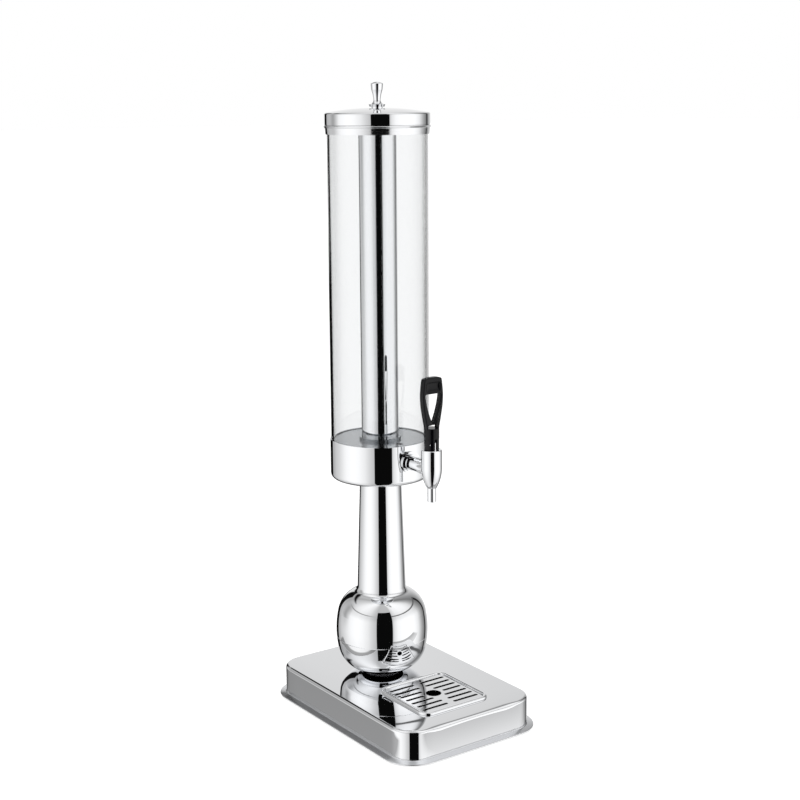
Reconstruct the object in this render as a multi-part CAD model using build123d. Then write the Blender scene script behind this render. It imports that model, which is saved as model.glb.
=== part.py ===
from build123d import *
import os
from math import asin, cos, degrees, radians, sin, sqrt

# Beer tower dispenser, in millimetres. The origin is the middle of the base on the
# table, +Z is up, and the tap and the drip tray face -Y.

# Clearances
slide_gap = 0.3      # between pieces that lift out or move past each other
pin_gap = 0.06       # running clearance of the pins and the valve stem
thread_gap = 0.05    # between a screwed or pushed-in piece and its hole
rest_gap = 0.1       # under a piece that lies loosely on another
past = 1.0           # how far a cutting shape runs past what it cuts

# Base
base_width = 194.0
base_length = 282.0
base_height = 40.0
base_corner = 27.0
base_edge = 4.0
base_sheet = 1.2
lip_overhang = 8.0
lip_thickness = 2.4
lip_fillet = 3.5
lip_clearance = 2.0      # from the table to the lip

# Feet and bottom plate
foot_radius = 9.0
foot_height = 4.0
foot_edge = 0.6
foot_web = 0.8           # rubber between a screw's head and the bottom plate
bottom_sheet = 1.5
bracket_size = 20.0
bracket_sheet = 2.0
bracket_leg = 16.0
bracket_margin = 2.0     # from the round corner to the bracket
foot_screw_radius = 2.0
foot_screw_head_radius = 3.8
foot_screw_head = 2.2
foot_screw_slot = 1.0
foot_screw_end = 2.0     # above the bracket

# Drip tray
tray_front = 30.0        # from the front wall to the rim
tray_width = 96.0
tray_length = 97.0
tray_corner = 12.0
tray_bead = 2.6          # height of the rim bead above the base
tray_rim = 4.0           # width of the rim bead
tray_rim_outside = 1.6   # rounding of its outer edge
tray_rim_inside = 1.2    # rounding of its inner edge
tray_tub_inset = 3.0     # from the outside of the rim to the outside of the tub
tray_depth = 20.0
tray_sheet = 1.0
tray_ledge = 1.5
tray_ledge_drop = 3.0    # from the rim's top to the ledge
grate_sheet = 1.5
slot_rows = 7
slot_width = 3.2
slot_inner = 4.0         # from the middle to the inner ends of the slots
slot_margin = 3.5        # from the slots to the side of the tray's opening
slot_end_margin = 10.6   # from the first row's middle to the end of the opening
finger_hole_radius = 8.75
finger_hole_margin = 2.8

# Ball and column
column_behind_tray = 107.5   # from the tray's middle to the column's axis
column_height = 250.0        # from the base's top to the cup
foot_gasket_radius = 21.5
foot_gasket_height = 1.5
ball_radius = 57.3
ball_side_arc = 120.0
ball_side_angle = 11.5
ball_shoulder_arc = 35.0
ball_seam = 43.5         # height of the seam above the bottom of the ball
seam_groove = 0.35
column_foot_radius = 30.2
column_top_radius = 25.4
column_fillet = 7.0
column_sheet = 1.0
column_plate_width = 110.0
column_plate_length = 84.0
column_plate_sheet = 3.0
column_plate_corner = 6.0
column_cap_height = 3.0

# Tie rod
rod_radius = 5.0
rod_gap = 0.4            # between the rod and the plain holes it goes through
rod_below_nut = 2.0
nut_across_flats = 17.0
nut_height = 8.0
washer_radius = 12.0
washer_height = 2.0
cap_nut_height = 6.0
cap_nut_dome = 5.0
cap_nut_shoulder = 0.5   # from the flats to the dome

# Cup
cup_height = 49.0
cup_overhang = 1.2       # how far the cup stands out beyond the clear tube
cup_edge = 6.0
cup_sheet = 0.9

# Tank hub, the moulded body inside the cup
hub_wall = 2.5
hub_rib_radius = 42.0
hub_boss_radius = 12.0
hub_deck = 5.0
hub_deck_below_rim = 12.0
hub_top_below_rim = 3.0
hub_outlet_width = 22.0
hub_ring_wire = 1.2
floor_sheet = 1.5
drain_radius = 4.0
drain_inset = 16.8       # from the inside of the clear tube to the drain's middle
socket_margin = 3.0      # width of the socket's rim around the ice tube
socket_sheet = 1.5
socket_rim = 2.0

# Clear tube and its collar
tube_radius = 59.8
tube_wall = 3.0
tube_gasket_height = 1.5
tube_length = 382.5
collar_skirt = 7.0
collar_wall = 1.3
collar_cap = 3.3
collar_flare = 0.9
collar_bead = 1.2
collar_bead_drop = 1.8   # from the collar's top to the middle of the bead
collar_bead_inset = 0.3

# Ice tube
ice_radius = 22.5
ice_wall = 0.9
ice_bottom_raise = 13.0
ice_cap_height = 20.5
ice_cap_wall = 0.8
ice_above_tube = 7.5     # from the clear tube's top to the top of the ice tube's cap

# Lid
lid_sheet = 1.0
lid_skirt = 13.6
lid_dome = 5.6
lid_edge = 2.2
liner_wall = 2.0
liner_skirt = 18.0
liner_drop = 9.0         # from the inside of the dome to the liner's disc
liner_boss_radius = 8.0
screw_radius = 2.5
screw_head_radius = 4.5
screw_head = 2.5
screw_in_knob = 12.0
screw_socket = 3.0       # across the flats
screw_socket_depth = 1.5

# Lid knob, its heights measured from the top of the lid
knob_foot_radius = 6.5
knob_foot_height = 0.9
knob_disc_radius = 9.8
knob_disc_rise = 4.0
knob_disc_edge = 1.0     # how far the disc's underside is drawn in
knob_disc_height = 2.7
knob_neck_radius = 4.1
knob_neck_rise = 9.2
knob_waist_radius = 5.0
knob_waist_rise = 15.0
knob_shoulder_radius = 6.6
knob_shoulder_rise = 20.7
knob_head_radius = 7.2
knob_height = 29.8
knob_crown = 2.1         # height of the rounded top
knob_edge = 0.5

# Tap, its axis measured forward of the column
tap_forward = 105.0
tap_rim_rise = 24.0      # from the shank's axis to the tap's rim
tap_radius = 12.25
tap_cylinder = 21.0
tap_bullet = 24.0
tap_edge = 0.6
tap_shoulder = 1.0       # from the cylinder's foot to the bullet
tap_bullet_end = 5.9
shank_below_deck = 8.0   # from the hub's deck to the shank's axis
shank_radius = 5.5
shank_bore = 3.5
shank_into_hub = 12.0
shank_wall = 1.0         # between the pipe's end and the valve chamber
neck_radius = 9.0
flange_radius = 13.0
flange_thickness = 3.0
flange_collar_radius = 11.0
flange_collar = 4.5
flange_gasket_height = 1.0
shank_ring_wire = 1.0
spout_radius = 5.3
spout_bore = 3.6
spout_length = 17.0
spout_spigot_radius = 4.6
spout_spigot = 6.0
spout_edge = 0.4

# Valve
chamber_radius = 7.5
chamber_height = 24.0
bonnet_radius = 9.0
bonnet_height = 8.0
outlet_radius = 3.6
stem_radius = 2.0
stem_flat = 2.0          # thickness of the stem's flattened head, and of the lug
plunger_radius = 6.5
plunger_height = 4.0
plunger_edge = 0.8
stem_shoulder = 1.0      # from the lever's foot to the round part of the lifted stem
seal_height = 2.6
spring_radius = 4.4
spring_wire = 0.45
spring_turns = 6
valve_lift = 4.0

# Lever
pivot_rise = 7.0         # pivot above the tap's rim
pivot_forward = 5.2      # pivot forward of the tap's axis
pin_radius = 1.0
lug_length = 4.4
lug_head = 3.5
lever_tilt = 45.0
lever_foot_radius = 8.65
lever_collar_radius = 9.05
lever_collar_rise = 26.0
lever_slot_head = 6.0
lever_thickness = 8.0
lever_half_width = 14.2
lever_top_half_width = 12.4
lever_widest_rise = 62.0
lever_corner_rise = 84.0
lever_rise = 86.3
lever_bulge = 0.9        # bulge of the sides beyond a straight line
lever_step = 0.5         # from the collar's outside to the loop's
lever_bury = 2.0         # depth of the loop's foot in the collar
lever_stile = 3.4        # width of the loop beside the window
lever_edge = 1.6
lever_crown_corner = 2.5
lever_foot_edge = 0.8
window_top_rise = 66.5
window_tip_rise = 31.5
window_tip = 1.2
window_tip_corner = 0.8
window_waist = 4.1       # width of the loop beside the middle of the window
window_corner = 2.0
window_edge = 0.6
grip_width = 17.0
grip_radius = 7.0
grip_depth = 1.6

# Sizes that follow from those above
tray_y = tray_front + tray_length / 2 - base_length / 2
column_y = tray_y + column_behind_tray
tap_y = column_y - tap_forward
cover_inside = base_height - base_sheet
lip_top = lip_clearance + lip_thickness
foot_inset = base_corner + bracket_size / 2 + bracket_margin
foot_recess = foot_height - foot_web
bottom_plate_top = foot_height + bottom_sheet
bracket_top = bottom_plate_top + bracket_sheet
tub_width = tray_width - 2 * tray_tub_inset
tub_length = tray_length - 2 * tray_tub_inset
tub_corner = tray_corner - tray_tub_inset
ledge_top = base_height + tray_bead - tray_ledge_drop
slot_outer = tray_width / 2 - tray_rim - slot_margin
slot_pitch = (tray_length - 2 * tray_rim - 2 * slot_end_margin) / (slot_rows - 1)
ball_shoulder_rise = (ball_side_arc - ball_shoulder_arc) * sin(radians(ball_side_angle))
ball_half_height = ball_shoulder_rise + ball_shoulder_arc
ball_bottom = base_height + foot_gasket_height
ball_middle = ball_bottom + ball_half_height
seam_height = ball_bottom + ball_seam
seam_radius = ball_radius - ball_side_arc + sqrt(ball_side_arc**2 - (ball_middle - seam_height) ** 2)
column_plate_bottom = cover_inside - column_plate_sheet
rod_hole_radius = rod_radius + rod_gap
rod_bottom = column_plate_bottom - washer_height - nut_height - rod_below_nut
cup_bottom = base_height + column_height
cup_rim = cup_bottom + cup_height
cup_radius = tube_radius + cup_overhang
cup_floor = cup_bottom + cup_sheet
cup_bore = cup_radius - cup_sheet
hub_radius = cup_bore - slide_gap
hub_deck_top = cup_rim - hub_deck_below_rim
hub_top = cup_rim - hub_top_below_rim
floor_top = hub_top + floor_sheet
socket_floor = floor_top + socket_sheet
tube_bore = tube_radius - tube_wall
tube_bottom = hub_deck_top + tube_gasket_height
tube_top = tube_bottom + tube_length
drain_forward = tube_bore - drain_inset
plug_radius = tube_bore - slide_gap
socket_radius = ice_radius + socket_margin
ice_foot = socket_floor + slide_gap
ice_top = tube_top + ice_above_tube
ice_floor = ice_foot + ice_bottom_raise
ice_neck_radius = ice_radius - ice_cap_wall - slide_gap
ice_cap_foot = ice_top - ice_cap_height
collar_top = tube_top + collar_cap + slide_gap
collar_bottom = tube_top - collar_skirt
collar_bore = tube_radius + slide_gap
collar_radius = collar_bore + collar_wall
lid_radius = collar_radius + collar_flare
lid_foot = collar_top + slide_gap
lid_top = lid_foot + lid_skirt + lid_dome
liner_top = lid_top - lid_sheet - liner_drop
liner_bottom = liner_top - liner_wall - liner_skirt
liner_radius = tube_bore - slide_gap
shank_height = hub_deck_top - shank_below_deck
tap_rim = shank_height + tap_rim_rise
tap_cylinder_foot = tap_rim - tap_cylinder - tap_shoulder
tap_foot = tap_cylinder_foot - tap_bullet
seat_height = tap_rim - bonnet_height - chamber_height
bonnet_foot = tap_rim - bonnet_height
seal_bottom = seat_height + rest_gap
plunger_bottom = seal_bottom + seal_height
plunger_top = plunger_bottom + plunger_height
pivot_height = tap_rim + pivot_rise
flange_reach = tap_forward - cup_radius - flange_gasket_height - flange_thickness
neck_reach = flange_reach - flange_collar
lever_foot = tap_rim + slide_gap
lever_collar = tap_rim + lever_collar_rise

at_column = Pos(0, column_y, 0)
at_tap = Pos(0, tap_y, 0)
BOTTOM_UP = (Align.CENTER, Align.CENTER, Align.MIN)


# Shapes used by many pieces

def rod(radius, low, high):
    """Upright round bar between two heights."""
    return Pos(0, 0, low) * Cylinder(radius, high - low, align=BOTTOM_UP)


def ring(radius, bore, low, high):
    """Upright tube or washer between two heights."""
    return rod(radius, low, high) - rod(bore, low, high)


def bar_y(radius, near, far, height):
    """Round bar along +Y between two distances from the axis."""
    return Pos(0, near, height) * Rot(-90, 0, 0) * Cylinder(radius, far - near, align=BOTTOM_UP)


def bar_x(radius, half_length, forward, height):
    """Round bar across the tap, centred on X, forward of the tap's axis."""
    return Pos(0, -forward, height) * Rot(0, 90, 0) * Cylinder(radius, 2 * half_length)


def slab(width, length, corner, low, high):
    """Rectangular slab with round plan corners between two heights."""
    return extrude(Pos(0, 0, low) * RectangleRounded(width, length, corner), high - low)


def hexagon(across_flats, low, high):
    """Upright hexagonal bar between two heights."""
    outline = RegularPolygon(across_flats / 2, 6, major_radius=False)
    return extrude(Pos(0, 0, low) * outline, high - low)


def spin(*edges):
    """Turn a closed profile, drawn as (radius, height), about Z."""
    return revolve(Plane.XZ * make_face(Curve() + list(edges)), Axis.Z)


def edges_at(shape, height):
    """Edges that lie flat at one height."""
    return shape.edges().filter_by_position(Axis.Z, height - 0.001, height + 0.001)


def level_face(shape, height):
    """The flat face that lies at one height."""
    return shape.faces().filter_by_position(Axis.Z, height - 0.001, height + 0.001)[0]


def at_corners(piece, x, y):
    """One copy of a piece at each corner of a rectangle, as separate solids."""
    places = [(-x, -y), (-x, y), (x, -y), (x, y)]
    return Compound(children=[Pos(px, py, 0) * piece for px, py in places])


# Base

def base_blank(inset):
    """The base's box with a rounded top edge, made smaller all round by inset."""
    top = base_height - inset
    box = slab(base_width - 2 * inset, base_length - 2 * inset, base_corner - inset, lip_clearance, top)
    return fillet(edges_at(box, top), base_edge - inset)


def base_cover():
    """Pressed shell with a turned-out lip, a cut-out for the tray and the rod's hole."""
    reach = 2 * lip_overhang
    lip = slab(base_width + reach, base_length + reach, base_corner + lip_overhang, lip_clearance, lip_top)
    shell = base_blank(0) + lip
    shell = fillet(level_face(shell, lip_top).inner_wires()[0].edges(), lip_fillet)
    shell = fillet(level_face(shell, lip_top).outer_wire().edges(), lip_thickness / 2)
    shell -= base_blank(base_sheet)
    gap = 2 * slide_gap
    shell -= Pos(0, tray_y, 0) * slab(tub_width + gap, tub_length + gap, tub_corner, lip_clearance, base_height)
    return shell - at_column * rod(rod_hole_radius, lip_clearance, base_height)


def column_plate():
    """Steel plate that spreads the column's load under the shell."""
    plate = slab(column_plate_width, column_plate_length, column_plate_corner, column_plate_bottom, cover_inside)
    return at_column * (plate - rod(rod_hole_radius, column_plate_bottom, cover_inside))


def foot_place():
    """Distance of the feet from the middle of the base, along X and Y."""
    return base_width / 2 - foot_inset, base_length / 2 - foot_inset


def corner_brackets():
    """Angle brackets welded to the side walls, tapped for the foot screws."""
    x, y = foot_place()
    wall = base_width / 2 - base_sheet
    brackets = []
    for side in (-1, 1):
        for end in (-1, 1):
            reach = wall - x + bracket_size / 2
            tab_x = side * (wall - reach / 2)
            tab = Pos(tab_x, end * y, bottom_plate_top) * Box(reach, bracket_size, bracket_sheet, align=BOTTOM_UP)
            leg_x = side * (wall - bracket_sheet / 2)
            leg = Pos(leg_x, end * y, bottom_plate_top) * Box(
                bracket_sheet, bracket_size, bracket_leg, align=BOTTOM_UP
            )
            hole = Pos(side * x, end * y, 0) * rod(foot_screw_radius, bottom_plate_top, bracket_top)
            brackets.append(tab + leg - hole)
    return Compound(children=brackets)


def bottom_plate():
    """Sheet that closes the base from below."""
    inset = 2 * (base_sheet + slide_gap)
    corner = base_corner - base_sheet - slide_gap
    plate = slab(base_width - inset, base_length - inset, corner, foot_height, bottom_plate_top)
    for hole in at_corners(rod(foot_screw_radius, foot_height, bottom_plate_top), *foot_place()).solids():
        plate -= hole
    return plate


def rubber_feet():
    """Four round feet, each with a recess for its screw's head."""
    foot = rod(foot_radius, 0, foot_height)
    foot = chamfer(edges_at(foot, 0), foot_edge)
    foot -= rod(foot_screw_head_radius + thread_gap, 0, foot_recess)
    foot -= rod(foot_screw_radius, foot_recess, foot_height)
    return at_corners(foot, *foot_place())


def foot_screws():
    """Pan-head screws that hold the feet and the bottom plate to the brackets."""
    head_foot = foot_recess - foot_screw_head
    screw = rod(foot_screw_head_radius, head_foot, foot_recess)
    screw += rod(foot_screw_radius - thread_gap, foot_recess, bracket_top + foot_screw_end)
    slot = Pos(0, 0, head_foot) * Box(
        foot_screw_slot, 2 * foot_screw_head_radius, foot_screw_slot, align=BOTTOM_UP
    )
    return at_corners(screw - slot, *foot_place())


# Drip tray

def drip_tray():
    """Pressed tray: a rim bead that lies on the base, and a stepped tub."""
    rim_top = base_height + tray_bead
    step = 2 * tray_ledge
    sheet = 2 * tray_sheet
    tray = slab(tray_width, tray_length, tray_corner, base_height, rim_top)
    tray = fillet(edges_at(tray, rim_top), tray_rim_outside)
    tray += slab(tub_width, tub_length, tub_corner, ledge_top - tray_sheet, base_height)
    tub_bottom = base_height - tray_depth
    tray += slab(tub_width - step, tub_length - step, tub_corner - tray_ledge, tub_bottom, ledge_top)
    opening_width = tray_width - 2 * tray_rim
    opening_length = tray_length - 2 * tray_rim
    opening_corner = tray_corner - tray_rim
    tray -= slab(opening_width, opening_length, opening_corner, ledge_top, rim_top)
    well_width = tub_width - step - sheet
    well_length = tub_length - step - sheet
    well_corner = tub_corner - tray_ledge - tray_sheet
    tray -= slab(well_width, well_length, well_corner, tub_bottom + tray_sheet, ledge_top)
    tray = fillet(level_face(tray, rim_top).inner_wires()[0].edges(), tray_rim_inside)
    return Pos(0, tray_y, 0) * tray


def grate_slots():
    """Both columns of drain slots, cut short around the finger hole."""
    slots = []
    for row in range(slot_rows):
        y = (row - (slot_rows - 1) / 2) * slot_pitch
        start = slot_inner
        clear = finger_hole_radius + finger_hole_margin + slot_width / 2
        if abs(y) < clear:
            start = max(slot_inner, sqrt(clear**2 - y**2))
        for side in (-1, 1):
            middle = side * (start + slot_outer) / 2
            outline = SlotOverall(slot_outer - start, slot_width)
            slots.append(Pos(middle, y, ledge_top) * extrude(outline, grate_sheet))
    return slots


def drip_grate():
    """Slotted plate with a finger hole, lying on the tray's ledge."""
    width = tray_width - 2 * tray_rim - 2 * slide_gap
    length = tray_length - 2 * tray_rim - 2 * slide_gap
    corner = tray_corner - tray_rim - slide_gap
    bottom = ledge_top + rest_gap
    top = bottom + grate_sheet
    grate = slab(width, length, corner, bottom, top)
    grate -= rod(finger_hole_radius, bottom, top)
    for slot in grate_slots():
        grate -= Pos(0, 0, rest_gap) * slot
    return Pos(0, tray_y, 0) * grate


# Ball and column

def ball_blank(inset):
    """Solid of the squat ball, made smaller all round by inset."""
    shoulder = ball_shoulder_arc - inset
    tilt = radians(ball_side_angle)
    shoulder_x = ball_radius - ball_side_arc + (ball_side_arc - ball_shoulder_arc) * cos(tilt)
    side_x = shoulder_x + shoulder * cos(tilt)
    side_z = ball_shoulder_rise + shoulder * sin(tilt)
    half = ball_half_height - inset
    knee = radians(45 + ball_side_angle / 2)
    knee_x = shoulder_x + shoulder * cos(knee)
    knee_z = ball_shoulder_rise + shoulder * sin(knee)
    return Pos(0, 0, ball_middle) * spin(
        Line((0, -half), (shoulder_x, -half)),
        ThreePointArc((shoulder_x, -half), (knee_x, -knee_z), (side_x, -side_z)),
        ThreePointArc((side_x, -side_z), (ball_radius - inset, 0), (side_x, side_z)),
        ThreePointArc((side_x, side_z), (knee_x, knee_z), (shoulder_x, half)),
        Line((shoulder_x, half), (0, half)),
        Line((0, half), (0, -half)),
    )


def column_blank(inset, top):
    """Ball and tapered column in one solid, made smaller all round by inset."""
    foot = ball_middle + ball_half_height
    side_height = ball_middle + ball_half_height / 2
    taper = (column_foot_radius - column_top_radius) / (cup_bottom - foot)
    start = ball_middle
    start_radius = column_foot_radius + taper * (foot - start) - inset
    end_radius = column_foot_radius - taper * (top - foot) - inset
    cone = Pos(0, 0, start) * Cone(start_radius, end_radius, top - start, align=BOTTOM_UP)
    blank = ball_blank(inset) + cone
    joint = [edge for edge in blank.edges() if edge.is_closed and side_height < edge.center().Z < foot + column_fillet]
    return fillet(joint, column_fillet + inset)


def tower_shell():
    """Sheet of the ball and the column, before it is parted at the seam."""
    shell = column_blank(0, cup_bottom) - column_blank(column_sheet, cup_bottom + past)
    shell -= rod(rod_hole_radius, base_height, ball_middle)
    return shell - Pos(0, 0, seam_height) * Torus(seam_radius, seam_groove)


def ball_bowl():
    """Lower part of the ball, up to the seam."""
    return at_column * (tower_shell() & rod(ball_radius + past, base_height, seam_height))


def column_shell():
    """Upper part of the ball and the column above it, spun in one piece."""
    return at_column * (tower_shell() & rod(ball_radius + past, seam_height, cup_bottom))


def foot_gasket():
    """Rubber ring between the ball and the base."""
    return at_column * ring(foot_gasket_radius, rod_hole_radius, base_height, ball_bottom)


def column_cap():
    """Disc that closes the column's top and carries the cup."""
    radius = column_top_radius - column_sheet - thread_gap
    return at_column * ring(radius, rod_hole_radius, cup_bottom - column_cap_height, cup_bottom)


# Tie rod

def tie_rod():
    """Threaded rod that clamps the base, column, cup and tank floor together."""
    return at_column * rod(rod_radius - thread_gap, rod_bottom, socket_floor + cap_nut_height)


def base_washer():
    """Washer under the column plate."""
    return at_column * ring(
        washer_radius, rod_hole_radius, column_plate_bottom - washer_height, column_plate_bottom
    )


def base_nut():
    """Hexagon nut on the rod's lower end."""
    top = column_plate_bottom - washer_height
    return at_column * (hexagon(nut_across_flats, top - nut_height, top) - rod(rod_radius, top - nut_height, top))


def rod_cap_nut():
    """Domed nut that seals the rod's upper end on the ice tube's socket."""
    top = socket_floor + cap_nut_height
    dome = Pos(0, 0, top) * Sphere(nut_across_flats / 2 - cap_nut_shoulder)
    nut = hexagon(nut_across_flats, socket_floor, top)
    nut += dome & rod(nut_across_flats, top, top + cap_nut_dome)
    return at_column * (nut - rod(rod_radius, socket_floor, top + rest_gap))


# Cup and tank hub

def cup_blank(inset):
    """The cup's outside, made smaller all round by inset and open upward."""
    blank = rod(cup_radius - inset, cup_bottom + inset, cup_rim)
    return fillet(edges_at(blank, cup_bottom + inset), cup_edge - inset)


def cup_shell():
    """Polished cup that holds the tank's foot, with holes for the rod and the tap."""
    cup = cup_blank(0) - cup_blank(cup_sheet) - rod(rod_hole_radius, cup_bottom, cup_floor)
    cup -= bar_y(shank_radius + slide_gap, -cup_radius - past, -cup_bore + past, shank_height)
    return at_column * cup


def tank_hub():
    """Moulded body in the cup: it carries the tube and leads the beer to the tap."""
    deck_bottom = hub_deck_top - hub_deck
    hub = rod(hub_radius, deck_bottom, hub_deck_top) + rod(plug_radius, hub_deck_top, hub_top)
    hub -= rod(hub_rib_radius - hub_wall, deck_bottom, hub_top - hub_deck)
    hub += ring(hub_rib_radius, hub_rib_radius - hub_wall, cup_floor, deck_bottom)
    hub += ring(hub_radius, hub_radius - hub_wall, cup_bottom + cup_edge, deck_bottom)
    hub += rod(hub_boss_radius, cup_floor, hub_top)
    outlet_near = drain_forward - drain_radius - hub_wall
    outlet_length = hub_radius - hub_wall / 2 - outlet_near
    outlet_foot = shank_height - shank_radius - hub_wall * 2
    hub += Pos(0, -(outlet_near + outlet_length / 2), outlet_foot) * Box(
        hub_outlet_width, outlet_length, hub_deck_top - outlet_foot, align=BOTTOM_UP
    )
    hub += Pos(0, -drain_forward, 0) * rod(drain_radius + hub_wall, outlet_foot, hub_top)
    hub -= rod(rod_hole_radius, cup_floor, hub_top)
    hub -= Pos(0, -drain_forward, 0) * rod(drain_radius, shank_height, hub_top)
    hub -= bar_y(shank_bore, -hub_radius, -drain_forward, shank_height)
    hub -= bar_y(shank_radius, -hub_radius - past, -(hub_radius - shank_into_hub), shank_height)
    ring_reach = shank_radius + 2 * shank_ring_wire + thread_gap
    hub -= bar_y(ring_reach, -hub_radius - past, -(hub_radius - 2 * shank_ring_wire - slide_gap), shank_height)
    groove = ring(plug_radius, tube_bore - 2 * hub_ring_wire - slide_gap, *ring_groove())
    return at_column * (hub - groove)


def ring_groove():
    """Lowest and highest point of the hub's O-ring groove."""
    middle = (tube_bottom + hub_top) / 2
    return middle - hub_ring_wire - thread_gap, middle + hub_ring_wire + thread_gap


def hub_ring():
    """O-ring between the hub and the clear tube."""
    low, high = ring_groove()
    centre_radius = tube_bore - thread_gap - hub_ring_wire
    return at_column * Pos(0, 0, (low + high) / 2) * Torus(centre_radius, hub_ring_wire)


def tube_gasket():
    """Flat ring under the clear tube's lower end."""
    return at_column * ring(tube_radius, tube_bore, hub_deck_top, tube_bottom)


def tank_floor():
    """Polished disc on the hub, with the drain hole at the front."""
    floor = ring(tube_bore - slide_gap, rod_hole_radius, hub_top, floor_top)
    return at_column * (floor - Pos(0, -drain_forward, 0) * rod(drain_radius, hub_top, floor_top))


def ice_tube_socket():
    """Shallow dish that centres the foot of the ice tube."""
    dish = ring(socket_radius, rod_hole_radius, floor_top, socket_floor + socket_rim)
    return at_column * (dish - rod(ice_radius + slide_gap, socket_floor, socket_floor + socket_rim))


# Clear tube

def clear_tube():
    """Clear tank tube."""
    return at_column * ring(tube_radius, tube_bore, tube_bottom, tube_top)


def collar_ring():
    """Ring that finishes the tube's upper end and carries the lid."""
    inner_top = tube_top + slide_gap
    bead_radius = collar_radius + collar_flare - collar_bead_inset
    collar = spin(
        Line((collar_bore, collar_bottom), (collar_radius, collar_bottom)),
        Line((collar_radius, collar_bottom), (collar_radius + collar_flare, collar_top)),
        Line((collar_radius + collar_flare, collar_top), (tube_bore, collar_top)),
        Line((tube_bore, collar_top), (tube_bore, inner_top)),
        Line((tube_bore, inner_top), (collar_bore, inner_top)),
        Line((collar_bore, inner_top), (collar_bore, collar_bottom)),
    )
    return at_column * (collar + Pos(0, 0, collar_top - collar_bead_drop) * Torus(bead_radius, collar_bead))


# Ice tube

def ice_tube():
    """Polished tube for ice, closed above its foot, with a neck for its cap."""
    bore = ice_radius - ice_wall
    neck_bore = ice_neck_radius - ice_wall
    neck_foot = ice_cap_foot - slide_gap
    neck_top = ice_top - ice_cap_wall - slide_gap
    tube = rod(ice_radius, ice_foot, neck_foot) + rod(ice_neck_radius, neck_foot, neck_top)
    tube -= rod(bore, ice_floor + ice_wall, neck_foot - ice_wall)
    tube -= rod(neck_bore, neck_foot - ice_wall, neck_top)
    return at_column * (tube - rod(bore, ice_foot, ice_floor))


def ice_tube_cap():
    """Pull-off cap of the ice tube, flush with the tube's outside."""
    cap = rod(ice_radius, ice_cap_foot, ice_top)
    cap = fillet(edges_at(cap, ice_top), ice_cap_wall)
    return at_column * (cap - rod(ice_radius - ice_cap_wall, ice_cap_foot, ice_top - ice_cap_wall))


# Lid

def lid_blank(inset):
    """Outside of the domed lid, made smaller all round by inset and open below."""
    drop = lid_dome
    dome_radius = (lid_radius**2 + drop**2) / (2 * drop) - inset
    top = lid_top - inset
    blank = rod(lid_radius - inset, lid_foot, top)
    blank &= Pos(0, 0, top - dome_radius) * Sphere(dome_radius)
    rim = [edge for edge in blank.edges() if edge.is_closed and edge.center().Z > lid_foot + past]
    return fillet(rim, lid_edge - inset)


def lid_cover():
    """Spun lid with a straight skirt and a low dome."""
    return at_column * (lid_blank(0) - lid_blank(lid_sheet) - rod(screw_radius, liner_top, lid_top))


def lid_liner():
    """Moulded plug under the lid that centres it in the tube."""
    liner = rod(liner_radius, liner_bottom, liner_top)
    liner -= rod(liner_radius - liner_wall, liner_bottom, liner_top - liner_wall)
    liner += rod(liner_boss_radius, liner_top - liner_wall, lid_top - lid_sheet - rest_gap)
    return at_column * (liner - rod(screw_radius, liner_bottom, lid_top))


def lid_knob():
    """Turned finial with a disc foot and a goblet head, tapped for its screw."""
    crown_foot = knob_height - knob_crown
    disc_foot = (knob_disc_radius - knob_disc_edge, knob_disc_rise - knob_disc_height)
    disc = (knob_disc_radius, knob_disc_rise)
    neck = (knob_neck_radius, knob_neck_rise)
    shoulder = (knob_shoulder_radius, knob_shoulder_rise)
    head = (knob_head_radius, crown_foot)
    knob = spin(
        Line((0, 0), (knob_foot_radius, 0)),
        Line((knob_foot_radius, 0), (knob_foot_radius, knob_foot_height)),
        Line((knob_foot_radius, knob_foot_height), disc_foot),
        Line(disc_foot, disc),
        TangentArc(neck, disc, tangent=(0, -1)),
        ThreePointArc(neck, (knob_waist_radius, knob_waist_rise), shoulder),
        Line(shoulder, head),
        TangentArc((0, knob_height), head, tangent=(1, 0)),
        Line((0, knob_height), (0, 0)),
    )
    knob = fillet(edges_at(knob, crown_foot), knob_edge)
    return at_column * Pos(0, 0, lid_top) * (knob - rod(screw_radius, 0, screw_in_knob + rest_gap))


def knob_screw():
    """Screw that clamps the liner and the lid to the knob."""
    head_top = liner_top - liner_wall
    screw = rod(screw_head_radius, head_top - screw_head, head_top)
    screw += rod(screw_radius - thread_gap, head_top, lid_top + screw_in_knob)
    head_foot = head_top - screw_head
    return at_column * (screw - hexagon(screw_socket, head_foot, head_foot + screw_socket_depth))


# Tap

def tap_body():
    """Bullet-shaped body with its neck, the valve chamber and the spout's socket."""
    bullet_end = (tap_bullet_end, tap_foot)
    shoulder = (tap_radius, tap_cylinder_foot)
    body = spin(
        Line((0, tap_foot), bullet_end),
        TangentArc(shoulder, bullet_end, tangent=(0, -1)),
        Line(shoulder, (tap_radius, tap_rim)),
        Line((tap_radius, tap_rim), (0, tap_rim)),
        Line((0, tap_rim), (0, tap_foot)),
    )
    body = chamfer(edges_at(body, tap_rim), tap_edge)
    body += bar_y(neck_radius, 0, neck_reach, shank_height)
    body -= rod(bonnet_radius, bonnet_foot, tap_rim)
    body -= rod(chamber_radius, seat_height, bonnet_foot)
    body -= rod(outlet_radius, tap_foot, seat_height)
    body -= rod(spout_spigot_radius, tap_foot, tap_foot + spout_spigot)
    body -= bar_y(shank_bore, 0, neck_reach, shank_height)
    return at_tap * (body - bar_y(shank_radius, chamber_radius + shank_wall, neck_reach, shank_height))


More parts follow.
